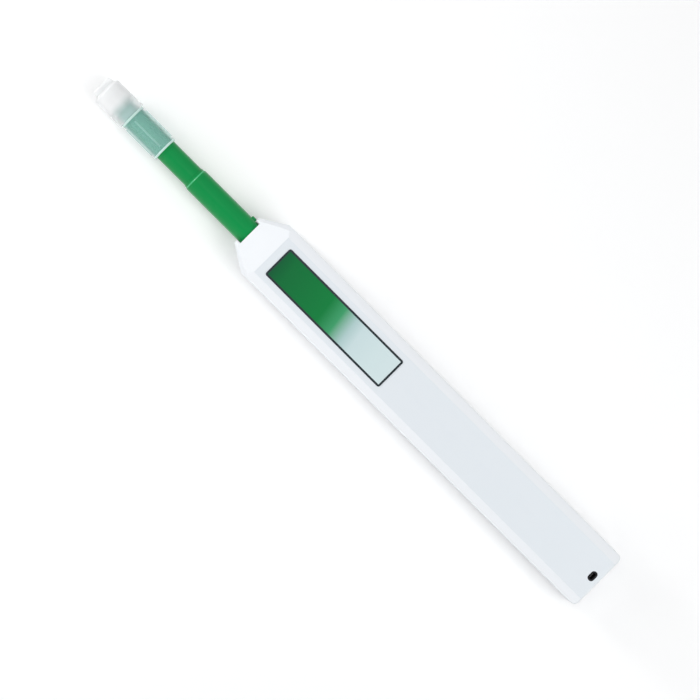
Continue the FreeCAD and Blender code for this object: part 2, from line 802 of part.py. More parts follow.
def ribbon(points, half):
    """Outline of a band of even width along a run of points in the middle plane."""
    runs = [(end - start).normalize() for start, end in zip(points, points[1:])]
    above = []
    below = []
    for i, point in enumerate(points):
        back = runs[max(i - 1, 0)]
        ahead = runs[min(i, len(runs) - 1)]
        square = V(-back.z, 0, back.x)
        mitre = (square + V(-ahead.z, 0, ahead.x)).normalize()
        reach = half / mitre.dot(square)
        above.append(point + mitre * reach)
        below.append(point - mitre * reach)
    outline = above + below[::-1]
    return Part.makePolygon(outline + outline[:1])


def cleaning_thread():
    """Thread from the supply reel, over the head's face and back to the take-up reel."""
    bend_x = hub_front_x + flange_thick + thread_clear
    face_x = head_x + thread_radius + pin_gap
    lane = [
        (bulkhead_rear_x - thread_clear, thread_rear_offset), (bend_x, thread_rear_offset),
        (bend_x + 2 * thread_clear, thread_front_offset),
        (bush_rear_x - thread_slot_half, thread_front_offset),
        (bush_front_x, thread_tip_offset), (head_x - head_length, thread_tip_offset),
        (head_x - head_length / 2, thread_head_offset), (face_x, thread_head_offset),
    ]
    clear = thread_radius + run_gap
    points = [V(supply_x, -thread_radius, wheel_z + supply_wound + clear)]
    points += [V(x, -thread_radius, axis_z + r) for x, r in lane]
    points += [V(x, -thread_radius, axis_z - r) for x, r in reversed(lane)]
    points.append(V(takeup_x, -thread_radius, wheel_z - takeup_wound - clear))
    return Part.Face(ribbon(points, thread_radius)).extrude(V(0, 2 * thread_radius, 0))


def guide_cap():
    """Clear cap: a ribbed sleeve over the nozzle and a port for a ferrule."""
    bore = narrow_radius + sleeve_gap
    tip_clear = tip_radius + dust_gap
    port_floor_x = port_end_x - port_wall
    rim = sleeve_radius + rim_height
    body = turned([
        (cap_rear_x, bore), (sleeve_end_x, bore), (sleeve_end_x, tip_clear),
        (port_floor_x, tip_clear), (port_floor_x, ferrule_bore),
        (port_end_x, ferrule_bore), (port_end_x, port_radius),
        (sleeve_end_x + rim_width / 2, port_radius), (sleeve_end_x + rim_width / 2, rim),
        (sleeve_end_x - rim_width, rim), (sleeve_end_x - rim_width, sleeve_radius),
        (cap_rear_x, sleeve_radius),
    ])
    rib = box(cap_rear_x + rib_setback, sleeve_end_x - rib_setback, -rib_width / 2, rib_width / 2,
              axis_z + bore + rib_height, axis_z + sleeve_radius + rib_height)
    ribs = []
    for quarter in range(4):
        turned_rib = rib.copy()
        turned_rib.rotate(V(0, 0, axis_z), V(1, 0, 0), 90 * quarter)
        ribs.append(turned_rib)
    return body.fuse(ribs).removeSplitter()


def dust_cap():
    """Frosted cap over the port, closed at the front, with a pull tab."""
    bore = port_radius + dust_gap
    rear = sleeve_end_x + rim_width / 2 + dust_seat
    floor = port_end_x + dust_inner_gap
    body = turned([
        (rear, bore), (floor, bore), (floor, 0), (dust_end_x, 0),
        (dust_end_x, dust_radius - dust_chamfer), (dust_end_x - dust_chamfer, dust_radius),
        (rear, dust_radius),
    ])
    tab = box(dust_end_x - dust_chamfer, dust_end_x + tab_length, -tab_width / 2, tab_width / 2,
              axis_z - tab_thick / 2, axis_z + tab_thick / 2)
    corners = [e for e in tab.Edges
               if e.BoundBox.ZLength > tab_thick / 2 and e.BoundBox.XMin > dust_end_x]
    tab = tab.makeFillet(tab_round, corners)
    return body.fuse(tab).removeSplitter()


def main():
    nodes = {
        "left_shell": left_shell(),
        "right_shell": right_shell(),
        "label": label(),
        "strap_eyelet": strap_eyelet(),
        "return_spring": return_spring(),
        "carriage": carriage(),
        "outer_nozzle": outer_nozzle(),
        "nozzle_tube": nozzle_tube(),
        "lock_button": lock_button(),
        "lock_spring": lock_spring(),
        "cam_shaft": cam_shaft(),
        "head_shaft": head_shaft(),
        "cleaning_head": cleaning_head(),
        "head_bush": head_bush(),
        "head_spring": head_spring(),
        "take_up_reel": take_up_reel(),
        "used_thread": winding(takeup_x, takeup_wound),
        "drive_gear": drive_gear(),
        "supply_reel": reel(supply_x),
        "fresh_thread": winding(supply_x, supply_wound),
        "click_pawl": click_pawl(),
        "cleaning_thread": cleaning_thread(),
        "guide_cap": guide_cap(),
        "dust_cap": dust_cap(),
    }
    os.makedirs("parts", exist_ok=True)
    for name, shape in nodes.items():
        shape.exportStep(f"parts/{name}.step")


main()
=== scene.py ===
import math

import bmesh
import bpy
from mathutils import Matrix, Vector


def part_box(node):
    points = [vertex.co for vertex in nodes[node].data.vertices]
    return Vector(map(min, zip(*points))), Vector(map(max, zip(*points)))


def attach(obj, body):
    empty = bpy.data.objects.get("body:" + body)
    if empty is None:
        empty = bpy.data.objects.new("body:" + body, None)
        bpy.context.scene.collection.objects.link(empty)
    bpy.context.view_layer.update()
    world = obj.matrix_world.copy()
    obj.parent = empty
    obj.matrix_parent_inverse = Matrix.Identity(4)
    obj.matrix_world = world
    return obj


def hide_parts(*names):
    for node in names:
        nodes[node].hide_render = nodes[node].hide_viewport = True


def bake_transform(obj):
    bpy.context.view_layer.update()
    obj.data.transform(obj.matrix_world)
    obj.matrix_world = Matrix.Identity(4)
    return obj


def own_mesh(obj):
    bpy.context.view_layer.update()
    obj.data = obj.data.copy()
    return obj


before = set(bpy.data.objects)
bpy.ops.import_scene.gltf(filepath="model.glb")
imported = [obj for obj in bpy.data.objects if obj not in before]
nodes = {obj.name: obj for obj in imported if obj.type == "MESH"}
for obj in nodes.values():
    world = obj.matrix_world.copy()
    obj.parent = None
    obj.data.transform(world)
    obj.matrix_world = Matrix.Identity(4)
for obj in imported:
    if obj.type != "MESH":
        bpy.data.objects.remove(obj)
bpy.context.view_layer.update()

mm = 0.001
scene = bpy.context.scene

# the nozzle's axis lies half way up the casing
caseLow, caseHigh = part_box("left_shell")
axisHeight = (caseLow.z + caseHigh.z) / 2

limits = {                  # mm, unless said
    "weld": 0.002,          # closer points of a new piece are merged
    "cadWeld": 0.001,       # closer points of a copied CAD node are merged
    "flatUnder": 0.4,       # degrees between faces of a copied node that are one face
    "level": 0.01,          # a smaller step counts as none
    "margin": 0.1,          # room round the places where faces are looked for
    "near": 1.0,            # a face this close to a place is at it
    "past": 1.0,            # a cutter reaches this far past an end
    "outside": 6.0,         # clear of the nozzles' walls, from the pen's axis
}


def say(text):
    print("scene:", text)


def clearSelection():
    if bpy.context.object and bpy.context.object.mode != "OBJECT":
        bpy.ops.object.mode_set(mode="OBJECT")
    bpy.ops.object.select_all(action="DESELECT")


def pick(piece):
    clearSelection()
    piece.select_set(True)
    bpy.context.view_layer.objects.active = piece


def settle(piece):
    # put place, turn and scale into the mesh
    pick(piece)
    bpy.ops.object.transform_apply(location=True, rotation=True, scale=True)


def startEditing(piece):
    # edit mode with everything selected
    pick(piece)
    bpy.ops.object.mode_set(mode="EDIT")
    bpy.ops.mesh.select_mode(type="VERT")
    bpy.ops.mesh.select_all(action="SELECT")


def selectFaces(piece, test):
    # in edit mode: select the faces whose middle and normal pass the test
    bpy.ops.mesh.select_mode(type="FACE")
    mesh = bmesh.from_edit_mesh(piece.data)
    for face in mesh.faces:
        face.select_set(bool(test(face.calc_center_median(), face.normal)))
    mesh.select_flush_mode()
    bmesh.update_edit_mesh(piece.data)


def selectEdges(piece, test):
    # in edit mode: select the edges whose two ends pass the test
    bpy.ops.mesh.select_mode(type="EDGE")
    mesh = bmesh.from_edit_mesh(piece.data)
    for edge in mesh.edges:
        edge.select_set(bool(test(edge.verts[0].co, edge.verts[1].co)))
    mesh.select_flush_mode()
    bmesh.update_edit_mesh(piece.data)


def closeUp(piece):
    # merge doubles and turn all faces outwards
    startEditing(piece)
    bpy.ops.mesh.remove_doubles(threshold=limits["weld"] * mm)
    bpy.ops.mesh.normals_make_consistent(inside=False)
    bpy.ops.object.mode_set(mode="OBJECT")


def turnedPiece(name, profile, sides, filled=False):
    # a ring drawn along the pen's axis through (x, radius) points in mm
    firstX, firstRadius = profile[0]
    clearSelection()
    bpy.ops.mesh.primitive_circle_add(
        vertices=sides, radius=firstRadius * mm, fill_type="NOTHING",
        location=(firstX * mm, 0, axisHeight), rotation=(0, math.pi / 2, 0))
    piece = bpy.context.active_object
    piece.name = name
    settle(piece)
    startEditing(piece)
    for (x0, radius0), (x1, radius1) in zip(profile, profile[1:]):
        bpy.ops.mesh.extrude_region_move(
            TRANSFORM_OT_translate={"value": ((x1 - x0) * mm, 0, 0)})
        grow = radius1 / radius0
        bpy.ops.transform.resize(value=(1, grow, grow),
                                 center_override=(x1 * mm, 0, axisHeight))
    if filled:
        bpy.ops.mesh.select_all(action="SELECT")
        bpy.ops.mesh.fill_holes(sides=0)
    bpy.ops.object.mode_set(mode="OBJECT")
    closeUp(piece)
    return piece


def blockPiece(name, low, high):
    # a block between two corners in mm
    clearSelection()
    middle = [(a + b) / 2 * mm for a, b in zip(low, high)]
    bpy.ops.mesh.primitive_cube_add(size=1, location=middle)
    piece = bpy.context.active_object
    piece.name = name
    bpy.ops.transform.resize(value=[(b - a) * mm for a, b in zip(low, high)])
    settle(piece)
    return piece


def applyModifier(piece, kind, **values):
    pick(piece)
    bpy.ops.object.modifier_add(type=kind)
    modifier = piece.modifiers[-1]
    for key, value in values.items():
        setattr(modifier, key, value)
    bpy.ops.object.modifier_apply(modifier=modifier.name)


def cutAway(piece, cutter):
    applyModifier(piece, "BOOLEAN", operation="DIFFERENCE", object=cutter, solver="EXACT")
    bpy.data.objects.remove(cutter)


def joinOn(piece, other):
    applyModifier(piece, "BOOLEAN", operation="UNION", object=other, solver="EXACT")
    bpy.data.objects.remove(other)


def softenEdges(piece, width, segments=3, angle=32):
    # round the edges that turn by more than the angle
    applyModifier(piece, "BEVEL", width=width * mm, segments=segments, limit_method="ANGLE",
                  angle_limit=math.radians(angle), use_clamp_overlap=True)


def smoothPiece(piece, angle=30):
    pick(piece)
    bpy.ops.object.shade_smooth_by_angle(angle=math.radians(angle))


def mergedCopy(node, name):
    # a copy of a CAD node with its loose triangles merged to clean faces
    piece = bpy.data.objects.new(name, nodes[node].data.copy())
    scene.collection.objects.link(piece)
    piece.data.materials.clear()
    startEditing(piece)
    bpy.ops.mesh.remove_doubles(threshold=limits["cadWeld"] * mm)
    bpy.ops.mesh.dissolve_limited(angle_limit=math.radians(limits["flatUnder"]))
    bpy.ops.object.mode_set(mode="OBJECT")
    return piece


def dress(piece, body, slotName, material, *replaced):
    # finish, carrier and the CAD nodes that the piece stands for
    piece.data.materials.clear()
    piece.data.materials.append(material)
    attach(piece, body)
    if replaced:
        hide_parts(*replaced)


def finishFaces(piece, material, test):
    # another finish on the faces whose middle and normal pass the test
    piece.data.materials.append(material)
    pick(piece)
    bpy.ops.object.mode_set(mode="EDIT")
    selectFaces(piece, test)
    piece.active_material_index = len(piece.data.materials) - 1
    bpy.ops.object.material_slot_assign()
    bpy.ops.object.mode_set(mode="OBJECT")


def finishAlong(piece, finish, test):
    # the same, where the test gets the mm along the pen and the mm out from its axis
    finishFaces(piece, finishes[finish], lambda middle, normal: test(
        middle.x / mm, math.hypot(middle.y, middle.z - axisHeight) / mm))


def dressNode(node, material):
    # a finish on a CAD node that is shown as it is
    mesh = nodes[node].data
    if not mesh.materials:
        mesh.materials.append(material)
    for index in range(len(mesh.materials)):
        mesh.materials[index] = material


def startGroup(name, inputs, outputs):
    tree = bpy.data.node_groups.new(name, "ShaderNodeTree")
    for label, kind, value in inputs:
        socket = tree.interface.new_socket(name=label, in_out="INPUT", socket_type=kind)
        socket.default_value = value
    for label, kind in outputs:
        tree.interface.new_socket(name=label, in_out="OUTPUT", socket_type=kind)
    return tree, tree.nodes.new("NodeGroupInput"), tree.nodes.new("NodeGroupOutput")


def addNode(tree, kind, **values):
    node = tree.nodes.new(kind)
    for key, value in values.items():
        setattr(node, key, value)
    return node


def mouldedSkinGroup():
    # moulded plastic: slow colour drift, fine grain, faint handling marks
    tree, given, result = startGroup(
        "mouldedSkin",
        [("Colour", "NodeSocketColor", (0.8, 0.8, 0.8, 1)),
         ("Drift Colour", "NodeSocketColor", (0.7, 0.7, 0.7, 1)),
         ("Drift Scale", "NodeSocketFloat", 20.0),
         ("Grain Scale", "NodeSocketFloat", 2500.0),
         ("Grain Height", "NodeSocketFloat", 0.1),
         ("Gloss", "NodeSocketFloat", 0.35),
         ("Mark Amount", "NodeSocketFloat", 0.1)],
        [("Colour", "NodeSocketColor"), ("Roughness", "NodeSocketFloat"),
         ("Normal", "NodeSocketVector")])
    link = tree.links.new
    place = addNode(tree, "ShaderNodeTexCoord")
    drift = addNode(tree, "ShaderNodeTexNoise")
    drift.inputs["Detail"].default_value = 3.0
    link(place.outputs["Object"], drift.inputs["Vector"])
    link(given.outputs["Drift Scale"], drift.inputs["Scale"])
    driftRange = addNode(tree, "ShaderNodeMapRange")
    driftRange.inputs["From Min"].default_value = 0.38
    driftRange.inputs["From Max"].default_value = 0.66
    link(drift.outputs["Fac"], driftRange.inputs["Value"])
    colour = addNode(tree, "ShaderNodeMix", data_type="RGBA")
    link(driftRange.outputs["Result"], colour.inputs["Factor"])
    link(given.outputs["Colour"], colour.inputs[6])
    link(given.outputs["Drift Colour"], colour.inputs[7])
    # marks run mostly along the pen, where hands and pockets rub it
    stretch = addNode(tree, "ShaderNodeMapping")
    stretch.inputs["Scale"].default_value = (0.12, 1.0, 1.0)
    stretch.inputs["Rotation"].default_value = (0.0, 0.0, 0.12)
    link(place.outputs["Object"], stretch.inputs["Vector"])
    marks = addNode(tree, "ShaderNodeTexNoise")
    marks.inputs["Scale"].default_value = 900.0
    marks.inputs["Detail"].default_value = 4.0
    marks.inputs["Roughness"].default_value = 0.6
    link(stretch.outputs["Vector"], marks.inputs["Vector"])
    markRange = addNode(tree, "ShaderNodeMapRange")
    markRange.inputs["From Min"].default_value = 0.55
    markRange.inputs["From Max"].default_value = 0.78
    link(marks.outputs["Fac"], markRange.inputs["Value"])
    markPart = addNode(tree, "ShaderNodeMath", operation="MULTIPLY")
    link(markRange.outputs["Result"], markPart.inputs[0])
    link(given.outputs["Mark Amount"], markPart.inputs[1])
    gloss = addNode(tree, "ShaderNodeMath", operation="ADD", use_clamp=True)
    link(markPart.outputs[0], gloss.inputs[0])
    link(given.outputs["Gloss"], gloss.inputs[1])
    grain = addNode(tree, "ShaderNodeTexNoise")
    grain.inputs["Detail"].default_value = 2.0
    link(place.outputs["Object"], grain.inputs["Vector"])
    link(given.outputs["Grain Scale"], grain.inputs["Scale"])
    bump = addNode(tree, "ShaderNodeBump")
    bump.inputs["Distance"].default_value = 0.02 * mm
    link(given.outputs["Grain Height"], bump.inputs["Strength"])
    link(grain.outputs["Fac"], bump.inputs["Height"])
    link(colour.outputs[2], result.inputs["Colour"])
    link(gloss.outputs[0], result.inputs["Roughness"])
    link(bump.outputs["Normal"], result.inputs["Normal"])
    return tree


def threadTwistGroup():
    # twisted yarn: slanting strands that cross the thread's run
    tree, given, result = startGroup(
        "threadTwist",
        [("Light", "NodeSocketColor", (0.9, 0.9, 0.88, 1)),
         ("Dark", "NodeSocketColor", (0.6, 0.6, 0.58, 1)),
         ("Strand Scale", "NodeSocketFloat", 1300.0)],
        [("Colour", "NodeSocketColor"), ("Height", "NodeSocketFloat")])
    link = tree.links.new
    place = addNode(tree, "ShaderNodeTexCoord")
    slant = addNode(tree, "ShaderNodeMapping")
    slant.inputs["Rotation"].default_value = (0.4, 0.7, 0.6)
    link(place.outputs["Object"], slant.inputs["Vector"])
    strands = addNode(tree, "ShaderNodeTexWave")
    strands.inputs["Distortion"].default_value = 0.6
    strands.inputs["Detail"].default_value = 2.0
    link(slant.outputs["Vector"], strands.inputs["Vector"])
    link(given.outputs["Strand Scale"], strands.inputs["Scale"])
    colour = addNode(tree, "ShaderNodeMix", data_type="RGBA")
    link(strands.outputs["Fac"], colour.inputs["Factor"])
    link(given.outputs["Dark"], colour.inputs[6])
    link(given.outputs["Light"], colour.inputs[7])
    link(colour.outputs[2], result.inputs["Colour"])
    link(strands.outputs["Fac"], result.inputs["Height"])
    return tree


def drawnMetalGroup():
    # drawn or turned steel: fine rings and slightly uneven brightness
    tree, given, result = startGroup(
        "drawnMetal",
        [("Colour", "NodeSocketColor", (0.6, 0.6, 0.6, 1)),
         ("Worn Colour", "NodeSocketColor", (0.45, 0.45, 0.45, 1)),
         ("Line Scale", "NodeSocketFloat", 3000.0)],
        [("Colour", "NodeSocketColor"), ("Roughness", "NodeSocketFloat"),
         ("Height", "NodeSocketFloat")])
    link = tree.links.new
    place = addNode(tree, "ShaderNodeTexCoord")
    stretch = addNode(tree, "ShaderNodeMapping")
    stretch.inputs["Scale"].default_value = (1.0, 0.08, 0.08)
    link(place.outputs["Object"], stretch.inputs["Vector"])
    lines = addNode(tree, "ShaderNodeTexNoise")
    lines.inputs["Detail"].default_value = 3.0
    link(stretch.outputs["Vector"], lines.inputs["Vector"])
    link(given.outputs["Line Scale"], lines.inputs["Scale"])
    colour = addNode(tree, "ShaderNodeMix", data_type="RGBA")
    link(lines.outputs["Fac"], colour.inputs["Factor"])
    link(given.outputs["Worn Colour"], colour.inputs[6])
    link(given.outputs["Colour"], colour.inputs[7])
    rough = addNode(tree, "ShaderNodeMapRange")
    rough.inputs["To Min"].default_value = 0.22
    rough.inputs["To Max"].default_value = 0.42
    link(lines.outputs["Fac"], rough.inputs["Value"])
    link(colour.outputs[2], result.inputs["Colour"])
    link(rough.outputs["Result"], result.inputs["Roughness"])
    link(lines.outputs["Fac"], result.inputs["Height"])
    return tree


mouldedSkin = mouldedSkinGroup()
threadTwist = threadTwistGroup()
drawnMetal = drawnMetalGroup()


def newMaterial(name):
    material = bpy.data.materials.new(name)
    material.use_nodes = True
    return material, material.node_tree, material.node_tree.nodes["Principled BSDF"]


def plastic(name, colour, drift, gloss=0.36, grainHeight=0.12, driftScale=22.0, marks=0.12,
            specular=0.5, sheen=0.0):
    material, tree, shader = newMaterial(name)
    skin = addNode(tree, "ShaderNodeGroup", node_tree=mouldedSkin)
    skin.inputs["Colour"].default_value = (*colour, 1)
    skin.inputs["Drift Colour"].default_value = (*drift, 1)
    skin.inputs["Drift Scale"].default_value = driftScale
    skin.inputs["Grain Height"].default_value = grainHeight
    skin.inputs["Gloss"].default_value = gloss
    skin.inputs["Mark Amount"].default_value = marks
    tree.links.new(skin.outputs["Colour"], shader.inputs["Base Color"])
    tree.links.new(skin.outputs["Roughness"], shader.inputs["Roughness"])
    tree.links.new(skin.outputs["Normal"], shader.inputs["Normal"])
    shader.inputs["Specular IOR Level"].default_value = specular
    shader.inputs["Sheen Weight"].default_value = sheen
    shader.inputs["Sheen Roughness"].default_value = 0.4
    return material


def clearPlastic(name, colour, drift, cover, gloss=0.30, frost=0.1, specular=0.5, spread=0.0):
    # milky plastic: each surface hides only part of what lies behind it
    material = plastic(name, colour, drift, gloss=gloss, grainHeight=0.05, marks=0.05,
                       specular=specular, sheen=frost)
    shader = material.node_tree.nodes["Principled BSDF"]
    shader.inputs["Alpha"].default_value = cover
    if spread:
        # light spreads this many mm inside the wall
        shader.inputs["Subsurface Weight"].default_value = 0.8
        shader.inputs["Subsurface Radius"].default_value = (1.0, 1.0, 1.0)
        shader.inputs["Subsurface Scale"].default_value = spread * mm
    return material


def thinTowardsRear(material, rear, front, thin):
    # a clear plastic's cover falls to the thin one from front to rear
    tree = material.node_tree
    alpha = tree.nodes["Principled BSDF"].inputs["Alpha"]
    place = addNode(tree, "ShaderNodeTexCoord")
    along = addNode(tree, "ShaderNodeSeparateXYZ")
    tree.links.new(place.outputs["Object"], along.inputs["Vector"])
    milk = addNode(tree, "ShaderNodeMapRange", interpolation_type="SMOOTHSTEP")
    milk.inputs["From Min"].default_value = rear * mm
    milk.inputs["From Max"].default_value = front * mm
    milk.inputs["To Min"].default_value = thin
    milk.inputs["To Max"].default_value = alpha.default_value
    tree.links.new(along.outputs["X"], milk.inputs["Value"])
    tree.links.new(milk.outputs["Result"], alpha)


def yarn(name, light, dark):
    material, tree, shader = newMaterial(name)
    twist = addNode(tree, "ShaderNodeGroup", node_tree=threadTwist)
    twist.inputs["Light"].default_value = (*light, 1)
    twist.inputs["Dark"].default_value = (*dark, 1)
    bump = addNode(tree, "ShaderNodeBump")
    bump.inputs["Strength"].default_value = 0.6
    bump.inputs["Distance"].default_value = 0.04 * mm
    tree.links.new(twist.outputs["Colour"], shader.inputs["Base Color"])
    tree.links.new(twist.outputs["Height"], bump.inputs["Height"])
    tree.links.new(bump.outputs["Normal"], shader.inputs["Normal"])
    shader.inputs["Roughness"].default_value = 0.85
    shader.inputs["Sheen Weight"].default_value = 0.25
    return material


def steel(name, colour, worn):
    material, tree, shader = newMaterial(name)
    metal = addNode(tree, "ShaderNodeGroup", node_tree=drawnMetal)
    metal.inputs["Colour"].default_value = (*colour, 1)
    metal.inputs["Worn Colour"].default_value = (*worn, 1)
    bump = addNode(tree, "ShaderNodeBump")
    bump.inputs["Strength"].default_value = 0.15
    bump.inputs["Distance"].default_value = 0.01 * mm
    tree.links.new(metal.outputs["Colour"], shader.inputs["Base Color"])
    tree.links.new(metal.outputs["Roughness"], shader.inputs["Roughness"])
    tree.links.new(metal.outputs["Height"], bump.inputs["Height"])
    tree.links.new(bump.outputs["Normal"], shader.inputs["Normal"])
    shader.inputs["Metallic"].default_value = 1.0
    return material


finishes = {
    "casing": plastic("casingWhite", (0.845, 0.87, 0.90), (0.83, 0.86, 0.89), gloss=0.32,
                      grainHeight=0.08, driftScale=14.0),
    # painted shade: the broad upward faces are darker than the casing's bevels and ends, besides
    # their coarser grain
    "panel": plastic("panelGrainShaded", (0.74, 0.785, 0.825), (0.725, 0.775, 0.815), gloss=0.40,
                     grainHeight=0.16, driftScale=14.0),
    "black": plastic("eyeletBlack", (0.009, 0.010, 0.012), (0.014, 0.014, 0.017), gloss=0.6,
                     specular=0.12),
    "grey": plastic("innerGrey", (0.42, 0.44, 0.45), (0.36, 0.38, 0.39), gloss=0.5),
    "white": plastic("reelWhite", (0.76, 0.77, 0.77), (0.70, 0.71, 0.71), gloss=0.48),
    "green": plastic("nozzleGreen", (0.001, 0.275, 0.064), (0.001, 0.252, 0.058), gloss=0.28,
                     grainHeight=0.08, marks=0.08, specular=0.12, sheen=0.18),
    # painted highlight: a lighter green for the step between the two nozzle widths
    "step": plastic("stepHighlight", (0.045, 0.46, 0.19), (0.040, 0.44, 0.17), gloss=0.2,
                    grainHeight=0.05, marks=0.05),
    "button": plastic("buttonGreen", (0.004, 0.290, 0.075), (0.003, 0.255, 0.065), gloss=0.40,
                      grainHeight=0.2, specular=0.2),
    "tip": plastic("softTip", (0.74, 0.74, 0.70), (0.68, 0.68, 0.64), gloss=0.7,
                   grainHeight=0.35),
    "teal": clearPlastic("tealSleeve", (0.34, 0.67, 0.62), (0.32, 0.65, 0.60), cover=0.36,
                         frost=1.0),
    # painted highlight: lighter than the sleeve, for the ring and the rear lip, and painted light
    # against the dust cap's shade
    "rim": clearPlastic("rimHighlight", (0.74, 0.94, 0.90), (0.72, 0.93, 0.89), gloss=0.34,
                        cover=0.75, frost=0.2),
    # painted highlight: the ribs are lighter than the sleeve between them
    "rib": clearPlastic("ribHighlight", (0.50, 0.82, 0.78), (0.48, 0.80, 0.76), cover=0.45,
                        frost=0.3),
    # painted light: a lighter teal for the port, against the shade of the dust cap over it
    "inner": clearPlastic("tealPortLightened", (0.50, 0.88, 0.85), (0.48, 0.86, 0.83), cover=0.42,
                          frost=0.6),
    "port": clearPlastic("paleMint", (0.95, 0.98, 0.98), (0.93, 0.97, 0.97), cover=0.30),
    "frost": clearPlastic("frostedCap", (0.86, 0.87, 0.875), (0.845, 0.86, 0.865), gloss=0.38,
                          cover=0.90, frost=0.2, spread=2.0),
    "frostBore": clearPlastic("frostedBore", (0.95, 0.96, 0.965), (0.94, 0.955, 0.96),
                              gloss=0.38, cover=0.06, specular=0.1),
    "spring": steel("springSteel", (0.62, 0.61, 0.60), (0.42, 0.42, 0.42)),
    "shaft": steel("shaftSteel", (0.66, 0.66, 0.66), (0.5, 0.5, 0.5)),
    "fresh": yarn("freshThread", (0.90, 0.90, 0.87), (0.66, 0.66, 0.63)),
    "used": yarn("usedThread", (0.78, 0.77, 0.73), (0.50, 0.49, 0.46)),
}


view = {
    "target": (-3.96, 3.62, 9.0),   # mm, the point in the middle of the picture
    "tiltSide": -0.6,               # degrees from overhead, towards the button's side
    "tiltTip": 0.0,                 # degrees from overhead, towards the tip
    "distance": 1.9,                # m
    "span": 0.225,                  # m across the picture at the target
    "up": (1, -1, 0),               # this way is up in the picture
    "sensor": 36.0,                 # mm
    "nearest": 0.05,                # m, nothing closer or farther is drawn
    "farthest": 20.0,
}


def makeCamera():
    back = Vector((math.tan(math.radians(view["tiltTip"])),
                   -math.tan(math.radians(view["tiltSide"])), 1)).normalized()
    right = Vector(view["up"]).cross(back).normalized()
    up = back.cross(right)
    target = Vector(view["target"]) * mm
    data = bpy.data.cameras.new("penCamera")
    data.sensor_width = view["sensor"]
    data.lens = data.sensor_width * view["distance"] / view["span"]
    data.clip_start = view["nearest"]
    data.clip_end = view["farthest"]
    camera = bpy.data.objects.new("penCamera", data)
    scene.collection.objects.link(camera)
    turn = Matrix((right, up, back)).transposed().to_4x4()
    camera.matrix_world = Matrix.Translation(target + back * view["distance"]) @ turn
    scene.camera = camera


floorLook = {
    "reach": 6.0,           # m
    "gap": 0.05,            # mm under the casing
    "tone": 0.97,
    "roughness": 0.9,
    "lift": 0.078,          # light added where the floor is seen directly
}


def directView(tree):
    # 1 where the camera sees a thing straight, in gloss or through clear plastic
    path = addNode(tree, "ShaderNodeLightPath")
    total = path.outputs["Is Camera Ray"]
    for kind in ("Is Glossy Ray", "Is Transmission Ray"):
        either = addNode(tree, "ShaderNodeMath", operation="MAXIMUM")
        tree.links.new(total, either.inputs[0])
        tree.links.new(path.outputs[kind], either.inputs[1])
        total = either.outputs[0]
    return total


def makeFloor():
    clearSelection()
    bpy.ops.mesh.primitive_plane_add(size=floorLook["reach"],
                                     location=(0, 0, -floorLook["gap"] * mm))
    floor = bpy.context.active_object
    floor.name = "floor"
    material, tree, shader = newMaterial("floorWhite")
    shader.inputs["Base Color"].default_value = (*[floorLook["tone"]] * 3, 1)
    shader.inputs["Roughness"].default_value = floorLook["roughness"]
    shader.inputs["Specular IOR Level"].default_value = 0.0
    # seen directly the floor is lifted to white, and its shadow stays
    lift = addNode(tree, "ShaderNodeEmission")
    seen = directView(tree)
    strength = addNode(tree, "ShaderNodeMath", operation="MULTIPLY")
    strength.inputs[1].default_value = floorLook["lift"]
    tree.links.new(seen, strength.inputs[0])
    tree.links.new(strength.outputs[0], lift.inputs["Strength"])
    both = addNode(tree, "ShaderNodeAddShader")
    tree.links.new(shader.outputs[0], both.inputs[0])
    tree.links.new(lift.outputs[0], both.inputs[1])
    tree.links.new(both.outputs[0], tree.nodes["Material Output"].inputs["Surface"])
    floor.data.materials.append(material)


lamps = {
    # name: (place in mm, size in mm, power in W, colour)
    "overRear": ((-300, -150, 900), (320, 320), 1.20, (1.0, 1.0, 1.0)),
    "overTip": ((60, -100, 900), (320, 320), 0.80, (1.0, 1.0, 1.0)),
    "rearTop": ((-330, -30, 420), (220, 220), 0.74, (1.0, 1.0, 1.0)),
    "lowerFloor": ((-60, 520, 50), (700, 90), 0.54, (1.0, 1.0, 1.0)),
    "lowerHigh": ((-60, 300, 480), (600, 260), 0.40, (1.0, 1.0, 1.0)),
    "upperHigh": ((-60, -300, 480), (600, 260), 0.33, (1.0, 0.99, 0.98)),
    "upperFloor": ((-60, -520, 50), (700, 90), 0.09, (1.0, 0.99, 0.98)),
    "besideTip": ((190, 230, 170), (200, 140), 0.16, (1.0, 1.0, 1.0)),
    "acrossTip": ((190, -230, 170), (200, 140), 0.07, (1.0, 0.99, 0.98)),
    "tipLow": ((450, 0, 130), (300, 260), 0.30, (1.0, 1.0, 1.0)),
    "tipHigh": ((330, 0, 400), (300, 260), 0.25, (1.0, 1.0, 1.0)),
    "tipSpark": ((430, 40, 190), (60, 60), 0.36, (1.0, 1.0, 1.0)),
}

roomLight = {"colour": (0.93, 0.96, 1.0, 1), "strength": 0.15}


